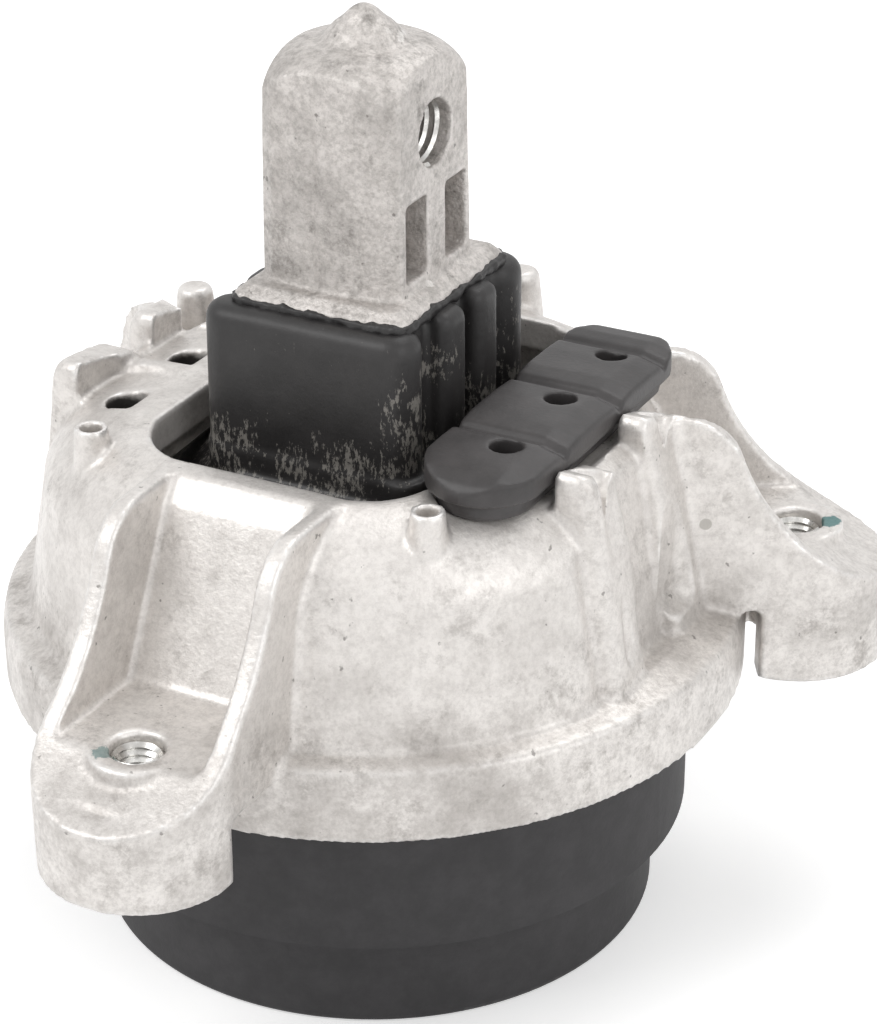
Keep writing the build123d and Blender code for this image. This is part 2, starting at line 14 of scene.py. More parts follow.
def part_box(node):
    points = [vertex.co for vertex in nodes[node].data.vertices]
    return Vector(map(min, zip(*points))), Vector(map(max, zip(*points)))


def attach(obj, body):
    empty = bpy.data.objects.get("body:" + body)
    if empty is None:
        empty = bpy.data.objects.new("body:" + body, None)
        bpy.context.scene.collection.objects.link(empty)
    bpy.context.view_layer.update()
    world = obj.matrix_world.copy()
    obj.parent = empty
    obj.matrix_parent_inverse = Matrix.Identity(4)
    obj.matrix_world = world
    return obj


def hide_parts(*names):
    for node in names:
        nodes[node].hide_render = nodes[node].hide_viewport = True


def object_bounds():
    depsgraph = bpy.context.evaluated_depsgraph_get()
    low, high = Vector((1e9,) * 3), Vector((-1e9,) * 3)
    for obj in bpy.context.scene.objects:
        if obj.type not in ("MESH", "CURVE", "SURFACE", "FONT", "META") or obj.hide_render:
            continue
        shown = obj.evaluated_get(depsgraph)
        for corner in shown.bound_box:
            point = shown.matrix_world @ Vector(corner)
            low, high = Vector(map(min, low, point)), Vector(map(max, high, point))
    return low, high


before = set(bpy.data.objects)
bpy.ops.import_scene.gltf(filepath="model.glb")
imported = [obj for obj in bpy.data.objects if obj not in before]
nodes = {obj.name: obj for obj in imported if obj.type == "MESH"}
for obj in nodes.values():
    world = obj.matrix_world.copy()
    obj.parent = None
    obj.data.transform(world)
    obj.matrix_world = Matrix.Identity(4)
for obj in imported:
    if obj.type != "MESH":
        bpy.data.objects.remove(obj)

MM = 0.001
cad_low, cad_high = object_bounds()
print("nodes:", sorted(nodes))

# %% [markdown]
# ## Small helpers
# Operators act on everything that is selected, so each step first clears the selection and picks one
# object. A finished piece has its place in its mesh and its object at the origin, as the model's nodes do.


# %% Helpers for pieces
def pick(piece):
    bpy.ops.object.select_all(action="DESELECT")
    piece.select_set(True)
    bpy.context.view_layer.objects.active = piece


def apply_modifiers(piece):
    pick(piece)
    for modifier in list(piece.modifiers):
        bpy.ops.object.modifier_apply(modifier=modifier.name)


def place_in_mesh(piece):
    pick(piece)
    bpy.ops.object.transform_apply(location=True, rotation=True, scale=True)


def finish_piece(piece, name, material, smooth_angle=40.0):
    piece.name = name
    piece.data.name = name
    piece.data.materials.clear()
    piece.data.materials.append(material)
    pick(piece)
    bpy.ops.object.shade_smooth_by_angle(angle=math.radians(smooth_angle))
    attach(piece, "root")
    print(name, len(piece.data.vertices), "vertices")


def copy_of_node(node):
    """A copy of a node with its loose triangles merged into one closed mesh."""
    piece = nodes[node].copy()
    piece.data = nodes[node].data.copy()
    for key in list(piece.keys()):
        del piece[key]
    piece.parent = None
    bpy.context.scene.collection.objects.link(piece)
    pick(piece)
    bpy.ops.object.mode_set(mode="EDIT")
    bpy.ops.mesh.select_all(action="SELECT")
    bpy.ops.mesh.remove_doubles(threshold=0.002 * MM)
    bpy.ops.object.mode_set(mode="OBJECT")
    return piece


# %% [markdown]
# ## Helpers for finishes
# A finish is a tree of nodes. These two helpers make a node with its settings, and a group with named
# inputs and outputs, so that the trees below read like a list of what the surface has.


# %% Helpers for finishes
def node(tree, kind, settings=None, **inputs):
    made = tree.nodes.new(kind)
    for key, value in (settings or {}).items():
        setattr(made, key, value)
    for label, value in inputs.items():
        socket = made.inputs[label.replace("_", " ")]
        if isinstance(value, bpy.types.NodeSocket):
            tree.links.new(value, socket)
        else:
            socket.default_value = value
    return made


def maths(tree, operation, first, second=0.0, third=0.0):
    made = tree.nodes.new("ShaderNodeMath")
    made.operation = operation
    for socket, value in zip(made.inputs, (first, second, third)):
        if isinstance(value, bpy.types.NodeSocket):
            tree.links.new(value, socket)
        else:
            socket.default_value = value
    return made.outputs[0]


def window(tree, value, low, high):
    """0 below low and 1 above high, with a smooth step between."""
    made = node(tree, "ShaderNodeMapRange", {"interpolation_type": "SMOOTHSTEP"})
    tree.links.new(value, made.inputs["Value"])
    made.inputs["From Min"].default_value = low
    made.inputs["From Max"].default_value = high
    return made.outputs["Result"]


def blend(tree, share, first, second):
    made = node(tree, "ShaderNodeMix", {"data_type": "RGBA"})
    for socket, value in ((made.inputs[0], share), (made.inputs[6], first), (made.inputs[7], second)):
        if isinstance(value, bpy.types.NodeSocket):
            tree.links.new(value, socket)
        else:
            socket.default_value = value
    return made.outputs[2]


def new_group(name, inputs, outputs):
    tree = bpy.data.node_groups.new(name, "ShaderNodeTree")
    for label, kind, value in inputs:
        socket = tree.interface.new_socket(name=label, in_out="INPUT", socket_type=kind)
        if value is not None:
            socket.default_value = value
    for label, kind in outputs:
        tree.interface.new_socket(name=label, in_out="OUTPUT", socket_type=kind)
    return tree, tree.nodes.new("NodeGroupInput").outputs, tree.nodes.new("NodeGroupOutput").inputs


def noise(tree, place, scale, detail=4.0, roughness=0.6):
    made = node(tree, "ShaderNodeTexNoise", Vector=place, Detail=detail, Roughness=roughness)
    if isinstance(scale, bpy.types.NodeSocket):
        tree.links.new(scale, made.inputs["Scale"])
    else:
        made.inputs["Scale"].default_value = scale
    return made.outputs["Fac"]


def new_material(name, **constants):
    material = bpy.data.materials.new(name)
    material.use_nodes = True
    tree = material.node_tree
    shader = tree.nodes["Principled BSDF"]
    for label, value in constants.items():
        shader.inputs[label.replace("_", " ")].default_value = value
    place = tree.nodes.new("ShaderNodeTexCoord").outputs["Object"]
    return material, tree, shader, place


def place_group(tree, group, **inputs):
    made = tree.nodes.new("ShaderNodeGroup")
    made.node_tree = group
    for label, value in inputs.items():
        socket = made.inputs[label.replace("_", " ")]
        if isinstance(value, bpy.types.NodeSocket):
            tree.links.new(value, socket)
        else:
            socket.default_value = value
    return made.outputs


def bumped(tree, shader, height, distance):
    bump = node(tree, "ShaderNodeBump", Strength=1.0, Distance=distance, Height=height)
    tree.links.new(bump.outputs["Normal"], shader.inputs["Normal"])


# %% [markdown]
# ## Cast skin
# Raw die-cast aluminium is never one grey. The die's spray leaves broad cloudy stains, the metal's flow
# leaves finer mottling, and handling adds small dark specks. Noise at several sizes makes them, and the
# group puts out a colour, a roughness and a height, so the housing and the post can share it.

# %% Group for cast skin
cast_skin, skin_in, skin_out = new_group(
    "cast_skin",
    (
        ("Place", "NodeSocketVector", None),
        ("Light", "NodeSocketColor", (0.8, 0.8, 0.8, 1)),
        ("Dark", "NodeSocketColor", (0.4, 0.4, 0.4, 1)),
        ("Speck", "NodeSocketColor", (0.1, 0.1, 0.1, 1)),
        ("Stain", "NodeSocketFloat", 0.5),
        ("Mottle", "NodeSocketFloat", 0.5),
        ("Grain size", "NodeSocketFloat", 900.0),
    ),
    (("Colour", "NodeSocketColor"), ("Roughness", "NodeSocketFloat"), ("Height", "NodeSocketFloat")),
)
clouds = noise(cast_skin, skin_in["Place"], 42.0, 6.0, 0.66)
mottle = noise(cast_skin, skin_in["Place"], 300.0, 8.0, 0.78)
blotches = noise(cast_skin, skin_in["Place"], 120.0, 6.0, 0.74)
grain = noise(cast_skin, skin_in["Place"], skin_in["Grain size"], 3.0, 0.6)
fine = window(cast_skin, noise(cast_skin, skin_in["Place"], 1050.0, 5.0, 0.75), 0.4, 0.66)
fine_mask = maths(cast_skin, "MULTIPLY", fine, maths(cast_skin, "MULTIPLY", skin_in["Mottle"], 0.5))
cloud_mask = maths(cast_skin, "MULTIPLY", window(cast_skin, clouds, 0.42, 0.7), skin_in["Stain"])
mottle_mask = maths(cast_skin, "MULTIPLY", window(cast_skin, mottle, 0.42, 0.66), skin_in["Mottle"])
blotch_mask = maths(cast_skin, "MULTIPLY", window(cast_skin, blotches, 0.5, 0.62), mottle_mask)
stained = blend(cast_skin, cloud_mask, skin_in["Light"], skin_in["Dark"])
mottled = blend(cast_skin, maths(cast_skin, "MULTIPLY", mottle_mask, 0.5), stained, skin_in["Dark"])
speckled = blend(cast_skin, fine_mask, mottled, skin_in["Dark"])
blotched = blend(cast_skin, blotch_mask, speckled, skin_in["Dark"])
speck_noise = noise(cast_skin, skin_in["Place"], 620.0, 2.0, 0.5)
speck_mask = maths(cast_skin, "MULTIPLY", window(cast_skin, speck_noise, 0.71, 0.77), 0.6)
cast_skin.links.new(blend(cast_skin, speck_mask, blotched, skin_in["Speck"]), skin_out["Colour"])
rough = maths(cast_skin, "MULTIPLY_ADD", mottle, 0.26, 0.28)
cast_skin.links.new(maths(cast_skin, "MULTIPLY_ADD", cloud_mask, 0.14, rough), skin_out["Roughness"])
cast_skin.links.new(maths(cast_skin, "MULTIPLY_ADD", mottle, 0.8, grain), skin_out["Height"])

# %% [markdown]
# ## Spots
# Inspectors dab paint on the ears and the die's ejector pins leave round marks. Near-black spots of painted
# shade darken the holes in the rim. All are small round places with a ragged edge. The group compares the
# distance from a centre with a radius that noise moves.

# %% Group for spots
spot, spot_in, spot_out = new_group(
    "spot",
    (
        ("Place", "NodeSocketVector", None),
        ("Centre", "NodeSocketVector", (0, 0, 0)),
        ("Radius", "NodeSocketFloat", 0.002),
        ("Ragged", "NodeSocketFloat", 0.5),
    ),
    (("Mask", "NodeSocketFloat"),),
)
reach = node(spot, "ShaderNodeVectorMath", {"operation": "DISTANCE"})
spot.links.new(spot_in["Place"], reach.inputs[0])
spot.links.new(spot_in["Centre"], reach.inputs[1])
share = maths(spot, "DIVIDE", reach.outputs["Value"], spot_in["Radius"])
wobble = maths(spot, "SUBTRACT", noise(spot, spot_in["Place"], 700.0, 4.0, 0.7), 0.5)
moved = maths(spot, "MULTIPLY_ADD", wobble, spot_in["Ragged"], share)
spot.links.new(window(spot, moved, 1.08, 0.88), spot_out["Mask"])

# %% [markdown]
# ## Painted edge highlights and corner shade
# A painted highlight brightens the high edges of a casting and painted shade darkens its inner corners. The
# mesh's pointiness says which is which. One group turns it into a mask for each, and every casting uses it.

# %% Group for painted edge highlights and corner shade
edge_light_and_shade, edge_light_in, edge_light_out = new_group(
    "edge_light_and_shade",
    (
        ("Pointiness", "NodeSocketFloat", 0.5),
        ("Place", "NodeSocketVector", None),
        ("Amount", "NodeSocketFloat", 0.6),
    ),
    (("Painted highlight", "NodeSocketFloat"), ("Painted shade", "NodeSocketFloat")),
)
ragged = noise(edge_light_and_shade, edge_light_in["Place"], 380.0, 5.0, 0.7)
high = window(edge_light_and_shade, edge_light_in["Pointiness"], 0.51, 0.57)
# Painted shade: a mask for the inner corners, where the pointiness is low.
low = window(edge_light_and_shade, maths(edge_light_and_shade, "SUBTRACT", 1.0, edge_light_in["Pointiness"]), 0.51, 0.58)
# Painted highlight: a ragged mask for the high edges, where the pointiness is high.
highlit_edges = maths(edge_light_and_shade, "MULTIPLY", high, window(edge_light_and_shade, ragged, 0.34, 0.6))
edge_light_and_shade.links.new(maths(edge_light_and_shade, "MULTIPLY", highlit_edges, edge_light_in["Amount"]), edge_light_out["Painted highlight"])
edge_light_and_shade.links.new(maths(edge_light_and_shade, "MULTIPLY", low, edge_light_in["Amount"]), edge_light_out["Painted shade"])


# %% [markdown]
# ## Castings
# The housing is a light warm grey with brown-grey stains. The post has been blasted, so it is darker,
# rougher and more even. Both take the same two groups with their own values.


# %% Materials for the castings
def casting_material(
    name, light, dark, highlight_colour, stain, mottle_share, low_extra, grain_size, metallic, bump, marks
):
    material, tree, shader, place = new_material(name, Metallic=metallic)
    height = node(tree, "ShaderNodeSeparateXYZ", Vector=place).outputs["Z"]
    low = window(tree, height, 68 * MM, 52 * MM)
    skin = place_group(
        tree,
        cast_skin,
        Place=place,
        Light=light,
        Dark=dark,
        Speck=(0.09, 0.08, 0.07, 1),
        Stain=maths(tree, "MULTIPLY_ADD", low, low_extra, stain),
        Mottle=maths(tree, "MULTIPLY_ADD", low, low_extra, mottle_share),
        Grain_size=grain_size,
    )
    pointiness = tree.nodes.new("ShaderNodeNewGeometry").outputs["Pointiness"]
    edge_light = place_group(tree, edge_light_and_shade, Pointiness=pointiness, Place=place, Amount=0.75)
    # Painted shade: the inner corners are darkened towards the dark colour.
    shaded_corners = blend(tree, maths(tree, "MULTIPLY", edge_light["Painted shade"], 0.7), skin["Colour"], dark)
    # Painted highlight: the high edges are brightened towards a near-white colour.
    colour = blend(tree, edge_light["Painted highlight"], shaded_corners, highlight_colour)
    for centre, radius, raggedness, share, tint in marks:
        mask = place_group(
            tree, spot, Place=place, Centre=centre, Radius=radius, Ragged=raggedness
        )["Mask"]
        colour = blend(tree, maths(tree, "MULTIPLY", mask, share), colour, tint)
    tree.links.new(colour, shader.inputs["Base Color"])
    roughness = maths(tree, "MULTIPLY_ADD", edge_light["Painted highlight"], -0.14, skin["Roughness"])
    tree.links.new(roughness, shader.inputs["Roughness"])
    bumped(tree, shader, skin["Height"], bump)
    return material


hole_ys = (-18.6, -0.3, 18.0)
teal = (0.02, 0.16, 0.16, 1)
pin_mark = (0.42, 0.4, 0.37, 1)
# Painted shade: the near-black colour of the spots inside the rim's holes.
hole_shade = (0.03, 0.027, 0.025, 1)
housing_metal = casting_material(
    "housing_metal",
    light=(0.8, 0.768, 0.738, 1),
    dark=(0.33, 0.305, 0.285, 1),
    highlight_colour=(0.97, 0.955, 0.94, 1),
    stain=0.34,
    mottle_share=0.42,
    low_extra=0.26,
    grain_size=1500.0,
    metallic=0.55,
    bump=0.00008,
    marks=(
        ((63.9 * MM, 36.0 * MM, 63.4 * MM), 1.9 * MM, 1.1, 0.85, teal),
        ((-3.7 * MM, -73.5 * MM, 60.6 * MM), 1.7 * MM, 1.8, 0.6, teal),
        ((52.1 * MM, 12.5 * MM, 70.8 * MM), 1.0 * MM, 0.2, 0.8, pin_mark),
        # Painted shade in the three holes of the rim.
        *(
            ((-34.3 * MM, hole_y * MM, 81.6 * MM), 5.2 * MM, 0.2, 0.92, hole_shade)
            for hole_y in hole_ys
        ),
    ),
)
post_metal = casting_material(
    "post_metal",
    light=(0.72, 0.68, 0.65, 1),
    dark=(0.2, 0.185, 0.17, 1),
    highlight_colour=(0.9, 0.87, 0.84, 1),
    stain=0.42,
    mottle_share=0.75,
    low_extra=0.0,
    grain_size=1100.0,
    metallic=0.5,
    bump=0.00026,
    marks=(),
)

# %% [markdown]
# ## Rubber, plastic and steel
# The block is charcoal with a slight sheen and has pale mould-release dust, which settles in streaks. The
# strip is greyer and cleaner, the can is almost black and dull, and the inserts are bright wire.


# %% Materials for rubber, plastic and steel
def rubber_material(name, colour, dust_colour, dust_window, roughness, stretch=(1.0, 1.0, 1.0), settled=0.0):
    """Rubber or plastic with dust. Settled is how much more of it lies in the side grooves and low down."""
    material, tree, shader, place = new_material(name, Roughness=roughness)
    stretched = node(tree, "ShaderNodeMapping", Vector=place, Scale=stretch).outputs["Vector"]
    streaks = noise(tree, stretched, 1500.0, 6.0, 0.75)
    patches = noise(tree, place, 95.0, 4.0, 0.6)
    ends = node(tree, "ShaderNodeSeparateXYZ", Vector=place).outputs
    sideways = window(tree, ends["X"], 11.0 * MM, 14.5 * MM)
    under_top = window(tree, ends["Z"], 105 * MM, 99 * MM)
    beside = maths(tree, "MULTIPLY", sideways, under_top)
    below = window(tree, ends["Z"], 92.0 * MM, 87.0 * MM)
    caught = maths(tree, "MULTIPLY", maths(tree, "MAXIMUM", beside, below), settled)
    gathered = maths(tree, "MULTIPLY", caught, window(tree, patches, 0.36, 0.54))
    streak_mask = window(tree, maths(tree, "ADD", streaks, gathered), *dust_window)
    dust = maths(tree, "MULTIPLY", streak_mask, 0.62)
    shade = window(tree, noise(tree, place, 160.0, 5.0, 0.65), 0.3, 0.75)
    deeper = tuple(channel * 0.62 for channel in colour[:3]) + (1,)
    toned = blend(tree, shade, deeper, colour)
    tree.links.new(blend(tree, dust, toned, dust_colour), shader.inputs["Base Color"])
    bumped(tree, shader, noise(tree, place, 1300.0, 4.0, 0.6), 0.00005)
    return material


block_rubber = rubber_material(
    "block_rubber",
    colour=(0.03, 0.028, 0.028, 1),
    dust_colour=(0.34, 0.32, 0.29, 1),
    dust_window=(0.66, 0.71),
    roughness=0.46,
    stretch=(1.0, 1.0, 0.35),
    settled=0.17,
)
strip_rubber = rubber_material(
    "strip_rubber",
    colour=(0.062, 0.057, 0.057, 1),
    dust_colour=(0.2, 0.19, 0.18, 1),
    dust_window=(0.72, 0.82),
    roughness=0.44,
    stretch=(1.0, 0.4, 1.0),
)
can_plastic = rubber_material(
    "can_plastic",
    colour=(0.038, 0.036, 0.038, 1),
    dust_colour=(0.09, 0.088, 0.09, 1),
    dust_window=(0.66, 0.8),
    roughness=0.66,
)
hidden_plastic = rubber_material(
    "hidden_plastic",
    colour=(0.03, 0.03, 0.03, 1),
    dust_colour=(0.06, 0.06, 0.06, 1),
    dust_window=(0.7, 0.8),
    roughness=0.6,
)

wire_steel, wire_tree, wire_shader, wire_place = new_material("wire_steel", Metallic=1.0)
wire_tone = window(wire_tree, noise(wire_tree, wire_place, 500.0, 4.0, 0.7), 0.35, 0.7)
wire_colour = blend(wire_tree, wire_tone, (0.5, 0.49, 0.47, 1), (0.82, 0.81, 0.78, 1))
wire_tree.links.new(wire_colour, wire_shader.inputs["Base Color"])
wire_rough = maths(wire_tree, "MULTIPLY_ADD", wire_tone, -0.12, 0.34)
wire_tree.links.new(wire_rough, wire_shader.inputs["Roughness"])

# %% [markdown]
# ## The rounded castings
# A die casting has no sharp edge. The CAD forms are right but crisp, so a merged copy is remeshed into
# small even cells and smoothed, which rounds outer edges and fills inner corners by about a millimetre, as
# molten metal does. Bevelling every edge would take longer and would fail where the ribs run out.


# %% Helpers that round a moulding
most_triangles = 185000
ripple = bpy.data.textures.new("ripple", "CLOUDS")
ripple.noise_scale = 9 * MM
ripple.noise_depth = 3


def into_cells(piece, cell):
    """One closed skin of small even cells round everything in the piece."""
    remesh = piece.modifiers.new("cells", "REMESH")
    remesh.mode = "VOXEL"
    remesh.voxel_size = cell
    apply_modifiers(piece)


def soften(piece, smoothing, unevenness):
    """Rounded edges and a slightly uneven skin, with no more triangles than are needed."""
    smooth = piece.modifiers.new("flow", "SMOOTH")
    smooth.factor = 0.5
    smooth.iterations = smoothing
    uneven = piece.modifiers.new("uneven", "DISPLACE")
    uneven.texture = ripple
    uneven.texture_coords = "LOCAL"
    uneven.strength = unevenness
    apply_modifiers(piece)
    cells = len(piece.data.polygons)
    thin_out = piece.modifiers.new("thin_out", "DECIMATE")
    thin_out.ratio = min(1.0, most_triangles / (2 * cells))
    apply_modifiers(piece)
    for vertex in piece.data.vertices:
        vertex.co = [min(max(at, low), high) for at, low, high in zip(vertex.co, cad_low, cad_high)]
    print(piece.name, "had", cells, "cells")


def along(table, value):
    """The value of a table of (place, value) pairs at a place, in straight steps."""
    for (low, low_value), (high, high_value) in zip(table, table[1:]):
        if low <= value <= high:
            return low_value + (high_value - low_value) * (value - low) / (high - low)
    return table[0][1] if value < table[0][0] else table[-1][1]


# %% [markdown]
# ### The wall between the buttresses
# Under the strip the wall falls back behind each buttress. The near side of a buttress grows out of the
# wall in a slope, and its far side is steep. A table says how far out the wall may reach along the rim, and
# points beyond it are pushed back to it. The buttresses also grow narrower towards their tops.

# %% Push the wall back behind the buttresses
wall_profile = (
    (-15.6, 99.0),
    (-14.9, 50.2),
    (-13.8, 50.2),
    (-13.2, 50.7),
    (-11.4, 53.4),
    (-10.8, 53.8),
    (-10.3, 53.2),
    (-9.4, 49.2),
    (-8.4, 48.7),
    (3.0, 48.7),
    (7.4, 49.2),
    (8.6, 50.0),
    (9.3, 50.8),
    (11.0, 53.6),
    (11.6, 99.0),
)
foot_curve = ((56.8, 12.0), (58.0, 4.0), (59.5, 1.2), (61.5, 0.0))
narrowing = ((77.0, 1.0), (81.0, 0.86), (84.0, 0.68), (87.0, 0.42), (90.0, 0.3))
narrowed_part = ((-17.0, 0.0), (-15.0, 1.0), (11.8, 1.0), (13.2, 0.0))
top_limits = (
    (-16.4, 99.0),
    (-15.8, 82.5),
    (-14.4, 84.0),
    (-13.0, 86.2),
    (-11.5, 87.6),
    (-9.5, 88.4),
    (-9.0, 99.0),
    (6.4, 99.0),
    (7.0, 84.5),
    (8.6, 86.4),
    (10.4, 87.7),
    (12.0, 88.4),
    (12.4, 99.0),
)
wall_from_x = 47.0
tops_from_x, tops_full_x, tops_from_z = 42.0, 45.0, 80.0
narrow_from_x, narrow_from_z = 45.5, 77.0


def push_wall_back(piece):
    vertices = piece.data.vertices
    places = [0.0] * (3 * len(vertices))
    vertices.foreach_get("co", places)
    for index in range(0, len(places), 3):
        x, y, z = (length / MM for length in places[index : index + 3])
        if x > wall_from_x:
            x = min(x, along(wall_profile, y) + along(foot_curve, z))
        if x > tops_from_x and z > tops_from_z:
            z = min(z, along(top_limits, y) + max(0.0, 2.0 * (tops_full_x - x)))
            places[index + 2] = z * MM
        if x > narrow_from_x and z > narrow_from_z:
            x -= (x - narrow_from_x) * (1.0 - along(narrowing, z)) * along(narrowed_part, y)
        places[index] = x * MM
    vertices.foreach_set("co", places)
    piece.data.update()


# %% [markdown]
# ### The housing
# The housing is cut into cells, its wall is pushed back, and only then is the skin smoothed, so that the
# new slopes get the same soft edges as the rest.

# %% Round the housing
housing_cast = copy_of_node("housing")
into_cells(housing_cast, 0.62 * MM)
push_wall_back(housing_cast)
soften(housing_cast, 2, 0.14 * MM)
finish_piece(housing_cast, "housing_cast", housing_metal, 180.0)
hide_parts("housing")

# %% [markdown]
# ### The post
# The two die halves left a shallow upright seam on the post's front face. The same kind of table sinks it
# into the copy before its skin is smoothed.

# %% Sink the seam and round the post
seam_depths = ((-4.6, 0.0), (-3.4, 0.12), (-2.6, 0.6), (-2.0, 0.55), (-0.9, 0.15), (0.8, 0.0))
seam_heights = ((109.5, 0.0), (112.0, 1.0), (134.0, 1.0), (141.0, 0.0))
front_from_y = -6.0
core_cast = copy_of_node("core")
into_cells(core_cast, 0.45 * MM)
for vertex in core_cast.data.vertices:
    x, y, z = (length / MM for length in vertex.co)
    if y < front_from_y:
        vertex.co.y += MM * along(seam_depths, x) * along(seam_heights, z)
soften(core_cast, 2, 0.16 * MM)
finish_piece(core_cast, "core_cast", post_metal, 180.0)
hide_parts("core")

# %% [markdown]
# ## The rubber spring
# Moulded rubber has the same soft edges as a casting, and it shrinks a little unevenly. The same two
# helpers make the spring with its ribbed block.

# %% Round the rubber spring
rubber_spring = copy_of_node("main_spring")
into_cells(rubber_spring, 0.6 * MM)
soften(rubber_spring, 2, 0.22 * MM)
finish_piece(rubber_spring, "rubber_spring", block_rubber, 180.0)
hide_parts("main_spring")

# %% [markdown]
# ## Flash round the post's foot
# Where the mould closed on the metal foot, a thin ragged lip of rubber crept over its edge. A flat rounded
# plate a little larger than the foot is cut into small cells and roughened, so its rim looks torn.


# %% Make the flash
def rounded_plate(low, high, corner, segments):
    """A plate between two corners, with its upright edges rounded in edit mode."""
    bpy.ops.object.select_all(action="DESELECT")
    middle = [(a + b) / 2 * MM for a, b in zip(low, high)]
    size = [(b - a) * MM for a, b in zip(low, high)]
    bpy.ops.mesh.primitive_cube_add(size=1.0, location=middle, scale=size)
    plate = bpy.context.object
    place_in_mesh(plate)
    bpy.ops.object.mode_set(mode="EDIT")
    bpy.ops.mesh.select_mode(type="EDGE")
    bpy.ops.mesh.select_all(action="DESELECT")
    bpy.ops.object.mode_set(mode="OBJECT")
    for edge in plate.data.edges:
        first, second = (plate.data.vertices[index].co for index in edge.vertices)
        edge.select = abs(first.z - second.z) > size[2] / 2
    bpy.ops.object.mode_set(mode="EDIT")
    bpy.ops.mesh.bevel(offset=corner * MM, segments=segments, affect="EDGES")
    bpy.ops.object.mode_set(mode="OBJECT")
    return plate


tearing = bpy.data.textures.new("tearing", "CLOUDS")
tearing.noise_scale = 2.4 * MM
tearing.noise_depth = 4
foot_flash = rounded_plate((-15.5, -18.1, 106.5), (15.5, 18.1, 107.9), corner=3.0, segments=5)
into_cells(foot_flash, 0.3 * MM)
torn = foot_flash.modifiers.new("torn", "DISPLACE")
torn.texture = tearing
torn.texture_coords = "LOCAL"
torn.strength = 1.5 * MM
soften(foot_flash, 1, 0.05 * MM)
finish_piece(foot_flash, "foot_flash", block_rubber, 180.0)

# %% [markdown]
# ## The strip
# The strip on the rim is one moulding: a narrow foot, and a wider top of four pads with narrow grooves
# between them and drooping ends. Two rounded plates and three cutters give its outline and holes.

# %% Make the strip's outline and holes
strip_low, strip_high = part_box("buffer_strip")
low_x, low_y = strip_low.x / MM, strip_low.y / MM
high_x, high_y = strip_high.x / MM, strip_high.y / MM
round_end = (high_x - low_x) / 2 - 0.05
inset = 1.7
strip_cell = 0.4 * MM
rubber_strip = rounded_plate((low_x, low_y, 89.0), (high_x, high_y, 93.3), round_end, 12)
foot_low = (low_x + inset, low_y + inset, 86.05)
foot_high = (high_x - inset, high_y - inset, 89.6)
strip_foot = rounded_plate(foot_low, foot_high, round_end - inset, 12)
pick(rubber_strip)
strip_foot.select_set(True)
bpy.ops.object.join()
into_cells(rubber_strip, strip_cell)
for hole_y in hole_ys:
    bpy.ops.object.select_all(action="DESELECT")
    bpy.ops.mesh.primitive_cylinder_add(
        vertices=32, radius=2.5 * MM, depth=6.0 * MM, location=(32.8 * MM, hole_y * MM, 91.2 * MM)
    )
    cutter = bpy.context.object
    place_in_mesh(cutter)
    hole = rubber_strip.modifiers.new("hole", "BOOLEAN")
    hole.object = cutter
    hole.operation = "DIFFERENCE"
    apply_modifiers(rubber_strip)
    bpy.data.objects.remove(cutter)
into_cells(rubber_strip, strip_cell)

# %% [markdown]
# ### Its pads and grooves
# The pads are flat with a gentle fall, and each groove is a narrow step. A table along the strip's length
# says how far its top is lifted or lowered there, and the points below the top move less.

# %% Shape the pads and grooves
pad_heights = (
    (-31.6, -2.2),
    (-30.4, -1.0),
    (-28.5, -0.2),
    (-25.0, 0.2),
    (-20.0, 0.3),
    (-16.4, 0.2),
    (-15.6, -0.1),
    (-14.9, -0.9),
    (-14.1, -0.9),
    (-13.2, 0.1),
    (-10.0, 0.5),
    (-2.0, 0.5),
    (2.6, 0.2),
    (3.4, -0.1),
    (4.1, -0.9),
    (4.9, -0.9),
    (5.8, 0.1),
    (9.0, 0.5),
    (16.0, 0.4),
    (19.8, 0.1),
    (20.6, -0.6),
    (21.4, -0.7),
    (22.4, 0.1),
    (25.0, 0.4),
    (28.0, 0.1),
    (29.8, -0.8),
    (30.8, -1.8),
)
side_slope = ((36.6, 0.0), (40.8, -1.2))
lift_shares = ((89.4, 0.0), (93.0, 1.0))
for vertex in rubber_strip.data.vertices:
    x, y, z = (length / MM for length in vertex.co)
    vertex.co.z += MM * along(lift_shares, z) * (along(pad_heights, y) + along(side_slope, x))
soften(rubber_strip, 3, 0.1 * MM)
finish_piece(rubber_strip, "rubber_strip", strip_rubber, 180.0)
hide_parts("buffer_strip")


# %% [markdown]
# ## Wire coils
# Each threaded hole shows the turns of a steel wire insert. A wire with a diamond section is wound by the
# Screw modifier, one turn for each pitch. A bump texture would look flat here, because the turns stand out
# against the dark hole.


# %% Wind the coils
def wire_coil(name, radius, pitch, turns, wire, place, turn_to):
    bpy.ops.object.select_all(action="DESELECT")
    bpy.ops.mesh.primitive_circle_add(
        vertices=4,
        radius=wire,
        fill_type="NGON",
        location=(radius, 0, 0),
        rotation=(math.pi / 2, 0, 0),
    )
    coil = bpy.context.object
    place_in_mesh(coil)
    winding = coil.modifiers.new("winding", "SCREW")
    winding.axis = "Z"
    winding.screw_offset = pitch
    winding.iterations = turns
    winding.steps = 40
    winding.render_steps = 40
    winding.use_merge_vertices = True
    winding.merge_threshold = 0.001 * MM
    apply_modifiers(coil)
    coil.rotation_euler = turn_to
    coil.location = place
    place_in_mesh(coil)
    pick(coil)
    bpy.ops.object.mode_set(mode="EDIT")
    bpy.ops.mesh.select_all(action="SELECT")
    bpy.ops.mesh.normals_make_consistent(inside=False)
    bpy.ops.object.mode_set(mode="OBJECT")
    finish_piece(coil, name, wire_steel)
    return coil


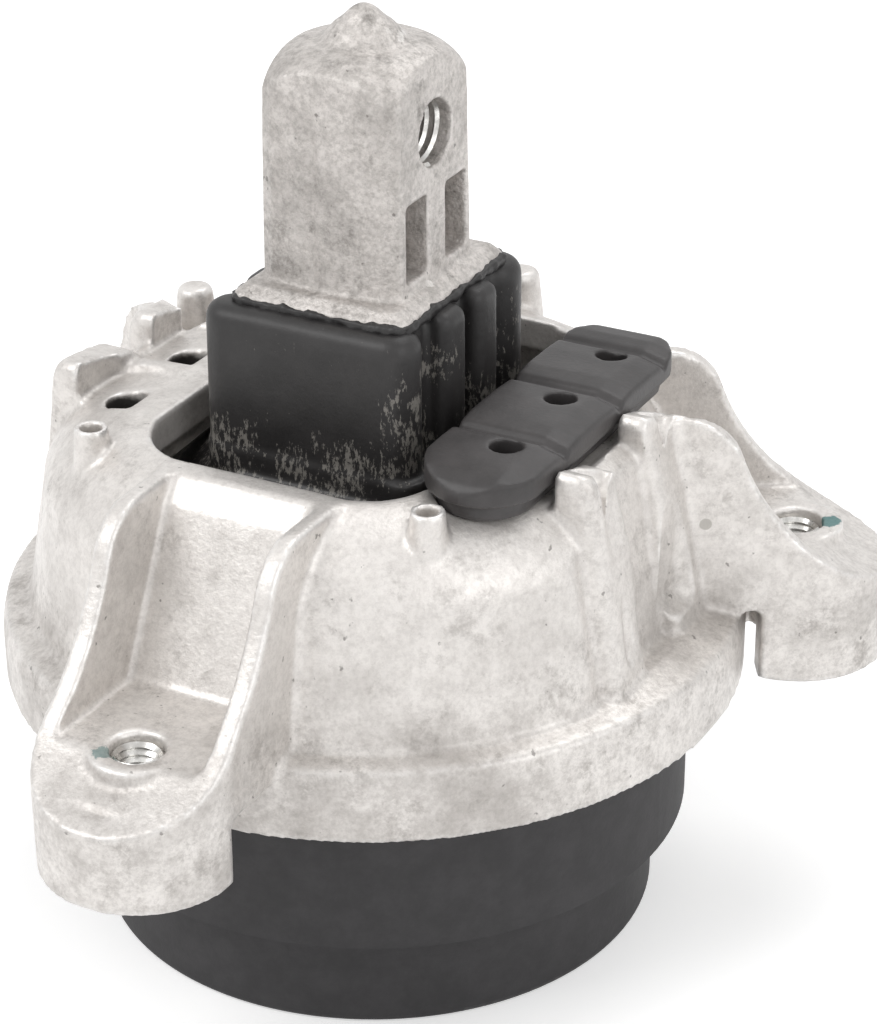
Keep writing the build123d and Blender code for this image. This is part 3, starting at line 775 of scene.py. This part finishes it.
for side in ("front", "right", "left"):
    low_corner, high_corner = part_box(f"insert_{side}")
    middle = (low_corner + high_corner) / 2
    coil = wire_coil(
        f"coil_{side}",
        radius=3.55 * MM,
        pitch=1.25 * MM,
        turns=9,
        wire=0.6 * MM,
        place=(middle.x, middle.y, low_corner.z + 0.3 * MM),
        turn_to=(0, 0, 0),
    )
    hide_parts(f"insert_{side}")
wire_coil(
    "coil_post",
    radius=5.3 * MM,
    pitch=1.75 * MM,
    turns=8,
    wire=0.6 * MM,
    place=(-3.6 * MM, -0.4 * MM, 132.5 * MM),
    turn_to=(0, math.pi / 2, 0),
)

# %% [markdown]
# ## Finishes for the other nodes
# The nodes keep their CAD form, also those that a finished piece stands in for. Each gets the finish of
# what it is made of, so that the can and the hidden parts match the pieces above.

# %% Give the other nodes their finishes
node_finishes = {
    "housing": housing_metal,
    "core": post_metal,
    "main_spring": block_rubber,
    "buffer_strip": strip_rubber,
    "base_can": can_plastic,
    "upper_channel_plate": hidden_plastic,
    "lower_channel_plate": hidden_plastic,
    "decoupler_membrane": block_rubber,
    "bellows": block_rubber,
    "bellows_ring": wire_steel,
    "spring_ring": wire_steel,
    "insert_front": wire_steel,
    "insert_right": wire_steel,
    "insert_left": wire_steel,
}
for name, finish in node_finishes.items():
    nodes[name].data.materials.clear()
    nodes[name].data.materials.append(finish)

# %% [markdown]
# ## Floor, light and camera
# The part stands on a pale floor under soft, plain light. The camera looks from the front right and above,
# at the photograph's angle, with a long lens.

# %% Floor
bpy.ops.object.select_all(action="DESELECT")
bpy.ops.mesh.primitive_plane_add(size=8.0, location=(0, 0, 0))
floor = bpy.context.object
floor.name = "floor"
floor_paint, floor_tree, floor_shader, _ = new_material("floor_paint", Roughness=0.9)
floor_shader.inputs["Base Color"].default_value = (0.93, 0.93, 0.93, 1)
floor_shader.inputs["Emission Color"].default_value = (1, 1, 1, 1)


def seen_directly(tree):
    """1 for rays from the camera, reflections and glass, and 0 for the rays that light the scene."""
    path = tree.nodes.new("ShaderNodeLightPath").outputs
    seen = maths(tree, "MAXIMUM", path["Is Camera Ray"], path["Is Glossy Ray"])
    return maths(tree, "MAXIMUM", seen, path["Is Transmission Ray"])


floor_glow = maths(floor_tree, "MULTIPLY", seen_directly(floor_tree), 0.42)
floor_tree.links.new(floor_glow, floor_shader.inputs["Emission Strength"])
floor.data.materials.append(floor_paint)

# %% Light
world = bpy.data.worlds.new("studio")
bpy.context.scene.world = world
world.use_nodes = True
sky = world.node_tree.nodes["Background"]
sky.inputs["Color"].default_value = (1, 1, 1, 1)
sky_strength = maths(world.node_tree, "MULTIPLY_ADD", seen_directly(world.node_tree), 0.45, 0.55)
world.node_tree.links.new(sky_strength, sky.inputs["Strength"])


def soft_lamp(name, place, size, power):
    lamp = bpy.data.lights.new(name, "AREA")
    lamp.shape = "DISK"
    lamp.size = size
    lamp.energy = power
    made = bpy.data.objects.new(name, lamp)
    bpy.context.scene.collection.objects.link(made)
    made.location = place
    made.rotation_mode = "QUATERNION"
    part_middle = Vector((0, 0, 0.07))
    aim = part_middle - Vector(place)
    made.rotation_quaternion = aim.to_track_quat("-Z", "Y")


soft_lamp("key_lamp", (-0.55, -0.75, 1.0), 0.7, 5.5)
soft_lamp("fill_lamp", (0.95, -0.35, 0.6), 0.8, 2.2)
soft_lamp("top_lamp", (0.1, 0.45, 1.1), 0.6, 2.5)

# %% Camera
camera = bpy.data.objects.new("camera", bpy.data.cameras.new("camera"))
bpy.context.scene.collection.objects.link(camera)
bpy.context.scene.camera = camera
camera.data.sensor_width = 36.0
camera.data.lens = 105.3
camera.data.clip_start = 0.01
camera.location = (0.2092, -0.3726, 0.2851)
camera.rotation_mode = "QUATERNION"
target = Vector((0.00912, 0.00483, 0.06634))
look = target - camera.location
roll = Quaternion((0, 0, 1), math.radians(-0.27))
camera.rotation_quaternion = look.to_track_quat("-Z", "Y") @ roll

bpy.context.scene.view_settings.view_transform = "Standard"
